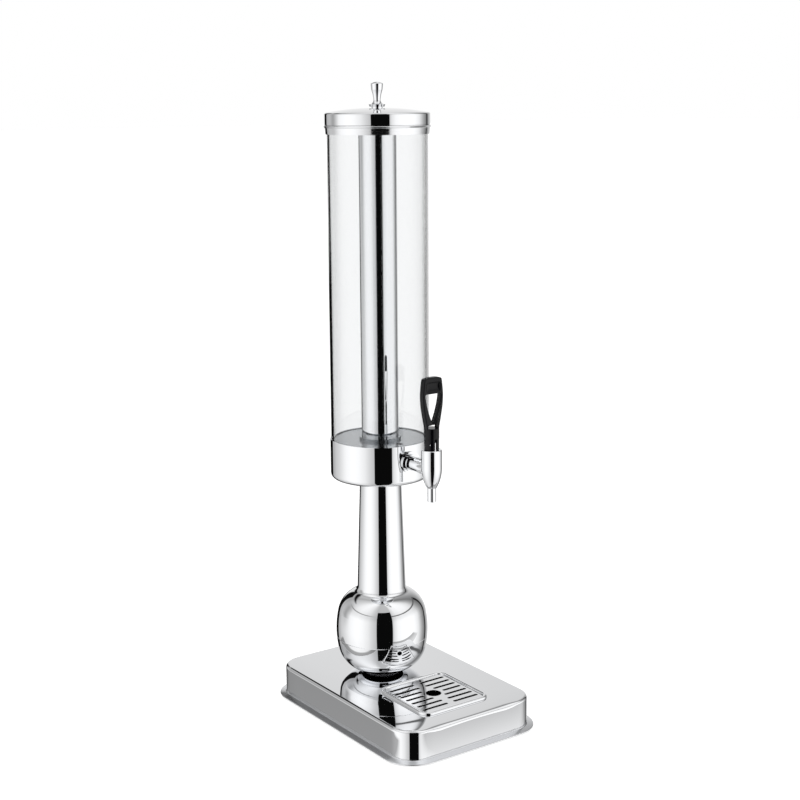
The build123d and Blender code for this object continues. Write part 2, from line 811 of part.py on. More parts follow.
def tap_flange():
    """Stepped rosette between the tap's neck and the cup."""
    flange = bar_y(flange_collar_radius, neck_reach, flange_reach, shank_height)
    flange += bar_y(flange_radius, flange_reach, flange_reach + flange_radius, shank_height)
    flange -= Pos(0, tap_forward, 0) * rod(cup_radius + flange_gasket_height, cup_bottom, cup_rim)
    return at_tap * (flange - bar_y(shank_radius, neck_reach, tap_forward, shank_height))


def flange_gasket():
    """Thin gasket between the rosette and the cup, curved like the cup."""
    disc = bar_y(flange_radius, flange_reach, flange_reach + flange_radius, shank_height)
    band = ring(cup_radius + flange_gasket_height, cup_radius, cup_bottom, cup_rim)
    gasket = disc & Pos(0, tap_forward, 0) * band
    return at_tap * (gasket - bar_y(shank_radius, neck_reach, tap_forward, shank_height))


def tap_shank():
    """Threaded pipe from the tap through the cup into the hub."""
    near = chamber_radius + shank_wall + thread_gap
    far = tap_forward - hub_radius + shank_into_hub - thread_gap
    pipe = bar_y(shank_radius - thread_gap, near, far, shank_height)
    return at_tap * (pipe - bar_y(shank_bore, near, far, shank_height))


def shank_ring():
    """O-ring around the shank, between the cup and the hub."""
    place = tap_forward - hub_radius + shank_ring_wire + slide_gap
    ring_radius = shank_radius + shank_ring_wire
    return at_tap * Pos(0, place, shank_height) * Rot(90, 0, 0) * Torus(ring_radius, shank_ring_wire)


def spout():
    """Straight outlet pipe pushed into the tap's foot."""
    pipe = ring(spout_radius, spout_bore, tap_foot - spout_length, tap_foot)
    pipe = chamfer(edges_at(pipe, tap_foot - spout_length), spout_edge)
    spigot_top = tap_foot + spout_spigot - thread_gap
    return at_tap * (pipe + ring(spout_spigot_radius - thread_gap, spout_bore, tap_foot, spigot_top))


def bonnet():
    """Screwed plug that closes the valve chamber, with the lug of the lever's pivot."""
    plug = rod(bonnet_radius - thread_gap, bonnet_foot, tap_rim)
    plug -= rod(stem_radius + pin_gap, bonnet_foot, tap_rim)
    lug_top = pivot_height + lug_head - lug_length / 2
    lug = Pos(0, -pivot_forward, tap_rim) * Box(stem_flat, lug_length, lug_top - tap_rim, align=BOTTOM_UP)
    lug += bar_x(lug_length / 2, stem_flat / 2, pivot_forward, lug_top)
    return at_tap * (plug + lug - bar_x(pin_radius, stem_flat, pivot_forward, pivot_height))


def lever_pin():
    """Pivot pin of the lever, tight in the bonnet's lug."""
    half = sqrt(lever_foot_radius**2 - pivot_forward**2) - slide_gap
    return at_tap * bar_x(pin_radius, half, pivot_forward, pivot_height)


# Valve

def valve_stem():
    """Round stem whose head is flattened on both sides and carries the lift pin."""
    head_top = pivot_height + lug_head
    head_foot = lever_foot - valve_lift - stem_shoulder
    stem = rod(stem_radius, plunger_bottom, head_foot)
    stem += rod(stem_radius, head_foot, head_top) & Pos(0, 0, head_foot) * Box(
        stem_flat, 2 * stem_radius, head_top - head_foot, align=BOTTOM_UP
    )
    return at_tap * (stem - bar_x(pin_radius, stem_flat, 0, pivot_height))


def lift_pin():
    """Cross pin through the stem's head, which the lever lifts."""
    return at_tap * bar_x(pin_radius, lever_foot_radius - slide_gap, 0, pivot_height)


def valve_plunger():
    """Collar screwed on the stem's lower end, which the spring presses on."""
    plunger = ring(plunger_radius, stem_radius + thread_gap, plunger_bottom, plunger_top)
    return at_tap * chamfer(edges_at(plunger, plunger_top).sort_by(SortBy.LENGTH)[-1], plunger_edge)


def valve_seal():
    """Rubber disc that closes the outlet."""
    return at_tap * rod(plunger_radius - slide_gap, seal_bottom, plunger_bottom)


def valve_spring():
    """Compression spring that closes the valve."""
    low = plunger_top + spring_wire + rest_gap
    high = bonnet_foot - spring_wire - rest_gap
    path = Helix((high - low) / spring_turns, high - low, spring_radius, center=(0, 0, low))
    section = Plane(path @ 0, z_dir=path % 0) * Circle(spring_wire)
    return at_tap * sweep(section, path, is_frenet=True)


# Lever

def lever_hip():
    """Point where the lever's side bulges, between its foot and its widest place."""
    foot_x = lever_collar_radius - lever_step
    x = (foot_x + lever_half_width) / 2 + lever_bulge
    return x, (lever_collar + tap_rim + lever_widest_rise) / 2


def lever_outline():
    """Front outline of the loop, wide near the top and narrow at the foot."""
    foot = lever_collar - lever_bury
    foot_x = lever_collar_radius - lever_step
    widest = tap_rim + lever_widest_rise
    corner = tap_rim + lever_corner_rise
    cheek_x = (lever_half_width + lever_top_half_width) / 2 + lever_bulge / 2
    hip = ThreePointArc((foot_x, foot), lever_hip(), (lever_half_width, widest))
    cheek = ThreePointArc(
        (lever_half_width, widest), (cheek_x, (widest + corner) / 2), (lever_top_half_width, corner)
    )
    crown = ThreePointArc(
        (-lever_top_half_width, corner), (0, tap_rim + lever_rise), (lever_top_half_width, corner)
    )
    sill = Line((-foot_x, foot), (foot_x, foot))
    return make_face(Curve() + [hip, cheek, hip.mirror(Plane.YZ), cheek.mirror(Plane.YZ), crown, sill])


def window_outline():
    """The loop's window: a flat top, sides that follow the lever's and a round tip."""
    top = tap_rim + window_top_rise
    tip = tap_rim + window_tip_rise
    top_x = lever_half_width - lever_stile
    hip_x, hip_height = lever_hip()
    side = ThreePointArc((top_x, top), (hip_x - window_waist, hip_height), (window_tip, tip))
    lintel = Line((-top_x, top), (top_x, top))
    sill = Line((-window_tip, tip), (window_tip, tip))
    face = make_face(Curve() + [side, side.mirror(Plane.YZ), lintel, sill])
    face = fillet([corner for corner in face.vertices() if corner.Y > top - 0.01], window_corner)
    return fillet([corner for corner in face.vertices() if corner.Y < tip + 0.01], window_tip_corner)


def lever_loop():
    """Flat upper part of the lever, with its window and its finger grip."""
    loop = extrude(Plane.XZ * lever_outline(), lever_thickness / 2, both=True)
    corner = tap_rim + lever_corner_rise
    crown = [edge for edge in loop.edges().filter_by(Axis.Y) if edge.center().Z > corner - past]
    loop = fillet(crown, lever_crown_corner)
    rim = [edge for edge in loop.faces().filter_by(Axis.Y).edges() if edge.center().Z > lever_collar]
    loop = fillet(rim, lever_edge)
    loop -= extrude(Plane.XZ * window_outline(), lever_thickness, both=True)
    window = [
        edge for face in loop.faces().filter_by(Axis.Y) for wire in face.inner_wires() for edge in wire.edges()
    ]
    loop = fillet(window, window_edge)
    grip_height = (tap_rim + window_top_rise + corner) / 2
    grip_forward = lever_thickness / 2 + grip_radius - grip_depth
    return loop - bar_x(grip_radius, grip_width / 2, grip_forward, grip_height)


def lever_handle():
    """Black lever: a loop on a round foot that straddles the lug and the stem."""
    foot = Pos(0, 0, lever_foot) * Cone(
        lever_foot_radius, lever_collar_radius, lever_collar - lever_foot, align=BOTTOM_UP
    )
    foot = fillet(edges_at(foot, lever_collar), lever_foot_edge)
    lever = foot + lever_loop()
    swing = pivot_rise - slide_gap
    front = lever_collar_radius - pivot_forward + past
    corner = Pos(0, -pivot_forward, lever_foot) * Box(
        2 * lever_collar_radius, front, swing, align=(Align.CENTER, Align.MAX, Align.MIN)
    )
    lever -= corner - bar_x(swing, lever_collar_radius + past, pivot_forward, pivot_height)
    lever -= Pos(0, 0, lever_foot) * Box(
        stem_flat + 2 * slide_gap, 4 * lever_collar_radius, swing + lever_slot_head, align=BOTTOM_UP
    )
    lever -= bar_x(pin_radius + pin_gap, lever_collar_radius + past, pivot_forward, pivot_height)
    return at_tap * (lever - lift_slot())


def lift_slot():
    """Slot across the lever in which the lift pin travels as the lever tilts."""
    tilt = radians(lever_tilt)
    end_forward = pivot_forward - pivot_forward * cos(tilt) - valve_lift * sin(tilt)
    end_height = pivot_height - pivot_forward * sin(tilt) + valve_lift * cos(tilt)
    radius = pin_radius + slide_gap
    half = lever_collar_radius + past
    length = sqrt(end_forward**2 + (end_height - pivot_height) ** 2)
    slope = degrees(asin((pivot_height - end_height) / length))
    bridge = Pos(0, -end_forward / 2, (pivot_height + end_height) / 2) * Rot(-slope, 0, 0)
    slot = bar_x(radius, half, 0, pivot_height) + bar_x(radius, half, end_forward, end_height)
    return slot + bridge * Box(2 * half, length, 2 * radius)


pieces = {
    "base_cover": base_cover,
    "column_plate": column_plate,
    "corner_brackets": corner_brackets,
    "bottom_plate": bottom_plate,
    "rubber_feet": rubber_feet,
    "foot_screws": foot_screws,
    "drip_tray": drip_tray,
    "drip_grate": drip_grate,
    "foot_gasket": foot_gasket,
    "ball_bowl": ball_bowl,
    "column_shell": column_shell,
    "column_cap": column_cap,
    "tie_rod": tie_rod,
    "base_washer": base_washer,
    "base_nut": base_nut,
    "rod_cap_nut": rod_cap_nut,
    "cup_shell": cup_shell,
    "tank_hub": tank_hub,
    "hub_ring": hub_ring,
    "tube_gasket": tube_gasket,
    "tank_floor": tank_floor,
    "ice_tube_socket": ice_tube_socket,
    "clear_tube": clear_tube,
    "collar_ring": collar_ring,
    "ice_tube": ice_tube,
    "ice_tube_cap": ice_tube_cap,
    "lid_cover": lid_cover,
    "lid_liner": lid_liner,
    "lid_knob": lid_knob,
    "knob_screw": knob_screw,
    "tap_body": tap_body,
    "tap_flange": tap_flange,
    "flange_gasket": flange_gasket,
    "tap_shank": tap_shank,
    "shank_ring": shank_ring,
    "spout": spout,
    "bonnet": bonnet,
    "lever_pin": lever_pin,
    "valve_stem": valve_stem,
    "lift_pin": lift_pin,
    "valve_plunger": valve_plunger,
    "valve_seal": valve_seal,
    "valve_spring": valve_spring,
    "lever_handle": lever_handle,
}

os.makedirs("parts", exist_ok=True)
for name, make in pieces.items():
    export_step(make(), f"parts/{name}.step")
    print(name)
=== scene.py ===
import math

import bpy
from mathutils import Matrix, Vector


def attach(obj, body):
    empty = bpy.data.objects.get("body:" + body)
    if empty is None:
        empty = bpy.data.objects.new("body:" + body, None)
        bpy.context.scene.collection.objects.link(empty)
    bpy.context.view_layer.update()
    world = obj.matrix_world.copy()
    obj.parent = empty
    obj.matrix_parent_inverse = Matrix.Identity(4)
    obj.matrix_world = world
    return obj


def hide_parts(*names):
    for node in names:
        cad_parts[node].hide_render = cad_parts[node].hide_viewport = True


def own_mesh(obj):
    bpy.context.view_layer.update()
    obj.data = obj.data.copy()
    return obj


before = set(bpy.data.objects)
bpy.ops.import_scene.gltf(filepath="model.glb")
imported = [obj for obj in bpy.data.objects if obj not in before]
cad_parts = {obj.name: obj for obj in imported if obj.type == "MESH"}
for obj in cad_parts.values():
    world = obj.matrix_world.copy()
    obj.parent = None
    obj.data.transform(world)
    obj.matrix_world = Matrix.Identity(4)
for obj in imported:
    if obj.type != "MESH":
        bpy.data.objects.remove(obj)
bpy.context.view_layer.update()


# Base cover: one stainless sheet, pressed to a shallow box with a turned-out lip and cut out
# for the drip tray. It is polished to a mirror; its lip is rougher, and tinted darker as painted
# contact shade. The pressing leaves the top edge rounder along the front than on the sides.

base_half_x = 97.0
base_half_y = 141.0
base_corner = 30.0
base_top = 40.0
base_sheet = 1.2
side_edge = 4.0
front_edge_more = 1.2
front_edge_swell = 3.0
front_edge_run = 0.25
lip_bend = 1.2
lip_rise = 5.4
lip_reach = 8.0
lip_bottom = 2.0
lip_end = 0.7
brushed_shade_from = 0.0056
brushed_shade_below = 0.0052
tray_middle = (0.0, -62.5)
tray_half_x = 48.0
tray_half_y = 48.5
tray_corner = 12.0
cut_inset = 2.4
lengthwise = (60.0, 4.0, 60.0)
steel_colour = (0.93, 0.937, 0.95, 1.0)
lip_shade_colour = (0.80, 0.81, 0.83, 1.0)


def start_material(name):
    """A new node material and its main shader."""
    material = bpy.data.materials.new(name)
    material.use_nodes = True
    return material, material.node_tree.nodes["Principled BSDF"]


def add_node(material, kind, **settings):
    """One more node in a material."""
    node = material.node_tree.nodes.new(kind)
    for key, value in settings.items():
        setattr(node, key, value)
    return node


def noise_of(material, stretch, detail):
    """Noise over the piece, in metres, stretched by a scale along each axis."""
    place = add_node(material, "ShaderNodeTexCoord")
    mapping = add_node(material, "ShaderNodeMapping")
    mapping.inputs["Scale"].default_value = stretch
    noise = add_node(material, "ShaderNodeTexNoise")
    noise.inputs["Scale"].default_value = 1.0
    noise.inputs["Detail"].default_value = detail
    material.node_tree.links.new(place.outputs["Object"], mapping.inputs["Vector"])
    material.node_tree.links.new(mapping.outputs["Vector"], noise.inputs["Vector"])
    return noise


def ranged(material, value, start, end, low=0.0, high=1.0):
    """A value from start to end brought to low to high."""
    scale = add_node(material, "ShaderNodeMapRange")
    scale.inputs["From Min"].default_value = start
    scale.inputs["From Max"].default_value = end
    scale.inputs["To Min"].default_value = low
    scale.inputs["To Max"].default_value = high
    material.node_tree.links.new(value, scale.inputs["Value"])
    return scale.outputs["Result"]


def vary_roughness(material, shader, noise, low, high):
    """Let the roughness follow the middle range of a noise."""
    marks = ranged(material, noise.outputs["Fac"], 0.35, 0.65, low, high)
    material.node_tree.links.new(marks, shader.inputs["Roughness"])


def add_bump(material, shader, noise, depth):
    """Bump of a real depth, in metres, from a noise."""
    bump = add_node(material, "ShaderNodeBump")
    bump.inputs["Strength"].default_value = 1.0
    bump.inputs["Distance"].default_value = depth
    material.node_tree.links.new(noise.outputs["Fac"], bump.inputs["Height"])
    material.node_tree.links.new(bump.outputs["Normal"], shader.inputs["Normal"])


def mirror_steel(name, lines, wave, blur=0.008):
    """Polished stainless sheet: faint polishing lines, wiping marks and a slow waviness."""
    material, shader = start_material(name)
    shader.inputs["Metallic"].default_value = 1.0
    shader.inputs["Base Color"].default_value = steel_colour
    vary_roughness(material, shader, noise_of(material, lines, 4.0), blur, blur * 3)
    add_bump(material, shader, noise_of(material, (14.0, 14.0, 14.0), 1.0), wave)
    return material


def below_height(material, clear, covered):
    """Mask that is 0 above one height over the floor and 1 below another, in metres."""
    place = add_node(material, "ShaderNodeTexCoord")
    apart = add_node(material, "ShaderNodeSeparateXYZ")
    material.node_tree.links.new(place.outputs["Object"], apart.inputs["Vector"])
    return ranged(material, apart.outputs["Z"], clear, covered)


def refinish_where(material, mask, colour, rough):
    """Another colour and roughness where the mask is 1."""
    links = material.node_tree.links
    shader = material.node_tree.nodes["Principled BSDF"]
    tint = add_node(material, "ShaderNodeMix", data_type="RGBA")
    tint.inputs["A"].default_value = shader.inputs["Base Color"].default_value
    tint.inputs["B"].default_value = colour
    links.new(mask, tint.inputs["Factor"])
    links.new(tint.outputs["Result"], shader.inputs["Base Color"])
    dull = add_node(material, "ShaderNodeMix", data_type="FLOAT")
    links.new(mask, dull.inputs["Factor"])
    links.new(shader.inputs["Roughness"].links[0].from_socket, dull.inputs["A"])
    dull.inputs["B"].default_value = rough
    links.new(dull.outputs["Result"], shader.inputs["Roughness"])


def arc(middle_x, middle_z, radius, start, end, count):
    """Points of an arc in a profile, by angle in degrees from the offset's direction."""
    angles = [math.radians(start + (end - start) * number / count) for number in range(count + 1)]
    return [(middle_x + radius * math.cos(angle), middle_z + radius * math.sin(angle))
            for angle in angles]


def rounded_loop(half_x, half_y, corner, turns=12, steps=14):
    """Points round a rectangle with round corners, each with its outward direction."""
    points = []
    for quarter in range(4):
        side_x = (1, -1, -1, 1)[quarter]
        side_y = (1, 1, -1, -1)[quarter]
        for turn in range(turns + 1):
            angle = math.radians(90 * (quarter + turn / turns))
            out_x, out_y = math.cos(angle), math.sin(angle)
            points.append((side_x * (half_x - corner) + corner * out_x,
                           side_y * (half_y - corner) + corner * out_y, out_x, out_y))
        if quarter % 2 == 0:
            reach = (-side_x * 2 * (half_x - corner), 0.0)
        else:
            reach = (0.0, -side_y * 2 * (half_y - corner))
        x, y, out_x, out_y = points[-1]
        for step in range(1, steps):
            share = step / steps
            points.append((x + reach[0] * share, y + reach[1] * share, out_x, out_y))
    return points


def moved(outline, middle):
    """Flat points shifted to their place."""
    return [(point[0] + middle[0], point[1] + middle[1]) for point in outline]


def skinned(name, rows, tube=True, ring=True, lids=()):
    """Mesh between rows of points in millimetres. A tube closes each row, a ring joins the
    last row to the first, and a lid is a face on points of its own choice."""
    across = len(rows[0])
    faces = []
    for number in range(len(rows) if ring else len(rows) - 1):
        here = number * across
        following = (number + 1) % len(rows) * across
        for place in range(across if tube else across - 1):
            beyond = (place + 1) % across
            faces.append((here + place, here + beyond, following + beyond, following + place))
    faces += lids
    points = [[value / 1000 for value in point] for row in rows for point in row]
    mesh = bpy.data.meshes.new(name)
    mesh.from_pydata(points, [], faces)
    mesh.update()
    return mesh


def smoothed(mesh, material, level="z"):
    """Give a mesh its material, smooth except on faces square to an axis and at sharp edges."""
    mesh.materials.clear()
    mesh.materials.append(material)
    for polygon in mesh.polygons:
        polygon.use_smooth = all(abs(getattr(polygon.normal, axis)) < 0.9995 for axis in level)
    mesh.set_sharp_from_angle(angle=math.radians(40))
    return mesh


def add_piece(name, mesh):
    """An object of a mesh."""
    piece = bpy.data.objects.new(name, mesh)
    bpy.context.scene.collection.objects.link(piece)
    return piece


def cover_profile(x, out_y):
    """Cover from the rim of its top over the lip and back inside, as (offset, height)."""
    edge = side_edge
    if out_y < -0.999:
        share = abs(x) / (base_half_x - base_corner)
        fade = min(1.0, (1.0 - share) / front_edge_run)
        edge += (front_edge_more + front_edge_swell * share**2) * fade
    outside = arc(-edge, base_top - edge, edge, 90, 0, 14)
    bend = arc(lip_bend, lip_rise, lip_bend, 180, 250, 5)
    end = arc(lip_reach - lip_end, lip_bottom + lip_end, lip_end, 75, -90, 6)
    inside = [(lip_bend / 2, lip_bottom), (-base_sheet, lip_bottom + base_sheet),
              (-base_sheet, base_top - edge), (-edge, base_top - base_sheet)]
    return outside + bend + end + inside


cover_loop = rounded_loop(base_half_x, base_half_y, base_corner)
cover_cut = moved(rounded_loop(tray_half_x - cut_inset, tray_half_y - cut_inset,
                               tray_corner - cut_inset), tray_middle)
cover_rows = []
for (x, y, out_x, out_y), (cut_x, cut_y) in zip(cover_loop, cover_cut):
    row = [(x + out_x * offset, y + out_y * offset, z) for offset, z in cover_profile(x, out_y)]
    cover_rows.append([(cut_x, cut_y, base_top), *row, (cut_x, cut_y, base_top - base_sheet)])
sheet_steel = mirror_steel("pressed_sheet", lengthwise, wave=0.00004)
# The lip is rougher, and tinted darker as painted contact shade.
brushed_shaded_lip = below_height(sheet_steel, brushed_shade_from, brushed_shade_below)
refinish_where(sheet_steel, brushed_shaded_lip, lip_shade_colour, rough=0.2)
base_shell = add_piece("base_shell", smoothed(skinned("base_shell", cover_rows), sheet_steel))
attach(base_shell, "tower")
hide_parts("base_cover")


# Plates under the cover: a thick steel plate that spreads the column's load, four folded
# brackets in the corners and the bottom plate. They are rolled steel, cut and left plain,
# and are screwed together from below.

plate_colour = (0.55, 0.56, 0.57, 1.0)


def plain_steel(name, colour, rough):
    """Rolled or turned steel that nobody polished."""
    material, shader = start_material(name)
    shader.inputs["Metallic"].default_value = 1.0
    shader.inputs["Base Color"].default_value = colour
    mill_marks = noise_of(material, (90.0, 900.0, 90.0), 5.0)
    vary_roughness(material, shader, mill_marks, rough, rough * 1.8)
    add_bump(material, shader, noise_of(material, (700.0, 700.0, 700.0), 3.0), 0.00001)
    return material


def finish(material, *names):
    """Give CAD pieces their finish."""
    for name in names:
        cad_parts[name].material_slots[0].material = material


rolled_plate = plain_steel("rolled_plate", plate_colour, 0.22)
finish(rolled_plate, "column_plate", "corner_brackets", "bottom_plate")


# Feet: four black rubber buttons under the bottom plate. Each is held by a zinc-plated
# screw that goes up into its corner bracket.

zinc_colour = (0.62, 0.64, 0.66, 1.0)
black_rubber_tone = 0.018


def soft_rubber(name, tone):
    """Matt rubber with a fine moulded grain."""
    material, shader = start_material(name)
    grain = noise_of(material, (900.0, 900.0, 900.0), 2.0)
    shader.inputs["Base Color"].default_value = (tone, tone, tone * 1.05, 1.0)
    vary_roughness(material, shader, grain, 0.6, 0.85)
    add_bump(material, shader, grain, 0.00004)
    return material


black_rubber = soft_rubber("black_rubber", black_rubber_tone)
finish(black_rubber, "rubber_feet")
zinc_plated = plain_steel("zinc_plated", zinc_colour, 0.2)
finish(zinc_plated, "foot_screws")


# Drip tray: pressed from the same sheet, with a round bead that lies on the base, a ledge
# for the grate and a well below it, rougher and painted near black as shade. It lifts out
# to be emptied.

tray_bead = 3.2
bead_outside = 1.2
bead_inside = -4.0
bead_clear = 0.02
bead_fullness = 0.75
bead_steps = 14
tray_ledge = 39.6
tray_well = 21.0
well_wall = -5.5
skirt_inset = -3.1
skirt_foot = 38.6
well_outside = -4.5
well_under = 20.0
well_shade_starts = 0.0398
well_shade_full = 0.0390
well_shade_colour = (0.05, 0.05, 0.052, 1.0)


def tray_profile():
    """From the well's floor up over the ledge and the bead, and down the outside."""
    middle = (bead_outside + bead_inside) / 2
    half = (bead_outside - bead_inside) / 2
    bead = []
    for number in range(bead_steps + 1):
        angle = math.radians(180 - 180 * number / bead_steps)
        lean = math.copysign(abs(math.cos(angle)) ** bead_fullness, math.cos(angle))
        rise = tray_bead * math.sin(angle) ** bead_fullness
        bead.append((middle + half * lean, base_top + bead_clear + rise))
    inner = [(well_wall, tray_well), (well_wall, tray_ledge), (bead_inside, tray_ledge)]
    outer = [(skirt_inset, base_top), (skirt_inset, skirt_foot),
             (well_outside, skirt_foot), (well_outside, well_under)]
    return inner + bead + outer


tray_rows = []
for x, y, out_x, out_y in rounded_loop(tray_half_x, tray_half_y, tray_corner):
    tray_rows.append([(x + out_x * offset + tray_middle[0], y + out_y * offset + tray_middle[1], z)
                      for offset, z in tray_profile()])
tray_across = len(tray_rows[0])
well_floor = [number * tray_across for number in range(len(tray_rows))]
well_underside = [place + tray_across - 1 for place in reversed(well_floor)]
tray_steel = mirror_steel("tray_sheet", lengthwise, wave=0.00003)
# The well below the ledge is rougher and painted near black as shade.
well_shade_mask = below_height(tray_steel, well_shade_starts, well_shade_full)
refinish_where(tray_steel, well_shade_mask, well_shade_colour, rough=0.35)
tray_mesh = skinned("beaded_tray", tray_rows, tube=False, lids=[well_floor, well_underside])
beaded_tray = add_piece("beaded_tray", smoothed(tray_mesh, tray_steel))
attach(beaded_tray, "drip_tray")
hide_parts("drip_tray")


# Grate: a thicker stainless sheet, punched with two columns of slots and a hole for a
# finger, which lies loose on the tray's ledge. Its upright faces are rougher and painted near
# black as shade.

grate_top = 41.3
grate_sheet = 1.5
grate_half_x = 43.7
grate_half_y = 44.2
grate_corner = 7.7
grate_edge = 0.3
finger_hole = 9.4
slot_width = 4.2
slot_pitch = 11.3
slot_rows = 7
slot_inner = 4.4
slot_outer = 40.5
slot_flat = 0.01
hole_margin = 2.6
wall_lean = 0.45
wall_upright = 0.25
wall_shade_colour = (0.012, 0.012, 0.013, 1.0)


def flat_plate(name, outlines, bottom, top, edge, steps=3):
    """Mesh of outlines, holes among them, filled and raised, with rounded edges."""
    curve = bpy.data.curves.new(name, "CURVE")
    curve.dimensions = "2D"
    curve.fill_mode = "BOTH"
    curve.extrude = (top - bottom) / 2000 - edge / 1000
    curve.bevel_depth = edge / 1000
    curve.bevel_resolution = steps
    curve.offset = -edge / 1000
    for outline in outlines:
        spline = curve.splines.new("POLY")
        spline.points.add(len(outline) - 1)
        for point, (x, y) in zip(spline.points, outline):
            point.co = (x / 1000, y / 1000, 0.0, 1.0)
        spline.use_cyclic_u = True
    holder = bpy.data.objects.new(name, curve)
    mesh = bpy.data.meshes.new_from_object(holder)
    bpy.data.objects.remove(holder)
    bpy.data.curves.remove(curve)
    mesh.transform(Matrix.Translation((0.0, 0.0, (bottom + top) / 2000)))
    return mesh


def disc_outline(radius, count):
    """Points round a circle."""
    angles = [math.tau * number / count for number in range(count)]
    return [(math.cos(angle) * radius, math.sin(angle) * radius) for angle in angles]


def slot_outlines():
    """The slots, whose inner ends keep clear of the finger hole."""
    clear = finger_hole + hole_margin + slot_width / 2
    outlines = []
    for row in range(slot_rows):
        height = (row - (slot_rows - 1) / 2) * slot_pitch
        start = slot_inner
        if abs(height) < clear:
            start = max(start, math.sqrt(clear**2 - height**2))
        half = (slot_outer - start) / 2
        slot = rounded_loop(half, slot_width / 2, slot_width / 2 - slot_flat, turns=6, steps=2)
        for side in (-1, 1):
            middle = (side * (start + slot_outer) / 2, height + tray_middle[1])
            outlines.append(moved(slot, middle))
    return outlines


grate_rim = rounded_loop(grate_half_x, grate_half_y, grate_corner, turns=8, steps=2)
finger_outline = disc_outline(finger_hole, count=48)
grate_outlines = [moved(grate_rim, tray_middle), moved(finger_outline, tray_middle)]
grate_outlines += slot_outlines()
grate_steel = mirror_steel("grate_sheet", lengthwise, wave=0.00003)
# Upright faces, in the slots, the finger hole and round the rim, are painted near black as shade.
facing = add_node(grate_steel, "ShaderNodeNewGeometry")
facing_apart = add_node(grate_steel, "ShaderNodeSeparateXYZ")
grate_steel.node_tree.links.new(facing.outputs["True Normal"], facing_apart.inputs["Vector"])
wall_shade_mask = ranged(grate_steel, facing_apart.outputs["Z"], wall_lean, wall_upright)
refinish_where(grate_steel, wall_shade_mask, wall_shade_colour, rough=0.6)
grate_bottom = grate_top - grate_sheet
grate_mesh = flat_plate("punched_grate", grate_outlines, grate_bottom, grate_top, grate_edge)
punched_grate = add_piece("punched_grate", smoothed(grate_mesh, grate_steel))
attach(punched_grate, "drip_grate")
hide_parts("drip_grate")


# Foot gasket: a grey rubber ring between the ball and the base, cut from sheet. It keeps
# the steel from scratching and seals the joint.

finish(soft_rubber("grey_rubber", 0.22), "foot_gasket")


# Ball and column: thin stainless, spun on a lathe in two halves that meet in a fine seam
# round the ball, and polished to a mirror. A plain disc closes the neck's top.

around = (5.0, 5.0, 700.0)

spun_steel = mirror_steel("spun_sheet", around, wave=0.00003)
finish(spun_steel, "ball_bowl", "column_shell")
finish(rolled_plate, "column_cap")


# Tie rod: a zinc-plated threaded rod up the middle, with a washer and a nut under the
# base. It clamps the base, the ball, the column and the cup together.

finish(zinc_plated, "tie_rod", "base_washer", "base_nut")


# Cup: a deep stainless dish, spun and polished, that sits on the column and carries the
# tank. The tap is screwed on through its front.

finish(spun_steel, "cup_shell")


# Hub: a grey moulded body in the cup, with the outlet passage from the tank to the tap. A
# rubber ring seals it on the cup, and a flat gasket takes the tube.

hub_colour = (0.16, 0.16, 0.165, 1.0)


def moulded(name, colour, rough, sheen=0.5):
    """Moulded plastic with a fine grain."""
    material, shader = start_material(name)
    grain = noise_of(material, (1200.0, 1200.0, 1200.0), 2.0)
    shader.inputs["Base Color"].default_value = colour
    shader.inputs["Specular IOR Level"].default_value = sheen
    vary_roughness(material, shader, grain, rough, rough + 0.12)
    add_bump(material, shader, grain, 0.00002)
    return material


finish(moulded("grey_moulding", hub_colour, 0.4), "tank_hub")
finish(black_rubber, "hub_ring", "tube_gasket")


# Tank: one length of clear extruded acrylic tube. It stands on the hub's gasket and is
# held there by its own fit and the collar.

acrylic_colour = (0.955, 0.96, 0.963, 1.0)

acrylic_bending = 1.49
haze = 0.004

clear_acrylic, acrylic_shader = start_material("clear_acrylic")
acrylic_shader.inputs["Base Color"].default_value = acrylic_colour
acrylic_shader.inputs["Transmission Weight"].default_value = 1.0
acrylic_shader.inputs["IOR"].default_value = acrylic_bending
drawn_marks = noise_of(clear_acrylic, (5.0, 5.0, 20.0), 4.0)
vary_roughness(clear_acrylic, acrylic_shader, drawn_marks, 0.0, haze)
finish(clear_acrylic, "clear_tube")


# Tank floor: a stainless disc on the hub with a shallow socket for the ice tube, both
# dished a little and less bright than the outside. A cap nut on the tie rod holds them.

floor_colour = (0.40, 0.42, 0.44, 1.0)

finish(plain_steel("tank_steel", floor_colour, 0.13), "tank_floor", "ice_tube_socket")
finish(zinc_plated, "rod_cap_nut")


# Collar: a stainless ring pushed over the tube's top, brushed to a satin finish. The lid
# closes on it.

finish(mirror_steel("satin_collar", around, wave=0.00003, blur=0.06), "collar_ring")


# Ice tube: a polished stainless tube with a welded bottom, which is filled with ice and
# stands in the tank's socket. A turned cap closes its top.

finish(spun_steel, "ice_tube", "ice_tube_cap")


# Lid: a polished stainless cover over a white moulded liner that centres it in the collar.
# The turned knob is held by a screw from inside.

liner_colour = (0.80, 0.80, 0.79, 1.0)

finish(spun_steel, "lid_cover", "lid_knob")
finish(moulded("white_moulding", liner_colour, 0.35), "lid_liner")
finish(zinc_plated, "knob_screw")


# Tap: a turned and plated body with its spout, a flange against the cup and a bonnet
# screwed into its top. A brass shank goes through the cup into the hub, sealed by a
# gasket and a rubber ring.

brass_colour = (0.72, 0.50, 0.22, 1.0)

finish(spun_steel, "tap_body", "tap_flange", "spout", "bonnet")
turned_brass, brass_shader = start_material("turned_brass")
brass_shader.inputs["Metallic"].default_value = 1.0
brass_shader.inputs["Base Color"].default_value = brass_colour
lathe_marks = noise_of(turned_brass, (20.0, 20.0, 3000.0), 3.0)
vary_roughness(turned_brass, brass_shader, lathe_marks, 0.16, 0.3)
finish(turned_brass, "tap_shank")
finish(black_rubber, "flange_gasket", "shank_ring")


# Valve: a steel stem with a brass plunger and a rubber seal at its foot. A cross pin in
# its head is what the lever lifts.

finish(spun_steel, "valve_stem", "lift_pin")
finish(turned_brass, "valve_plunger")
finish(black_rubber, "valve_seal")
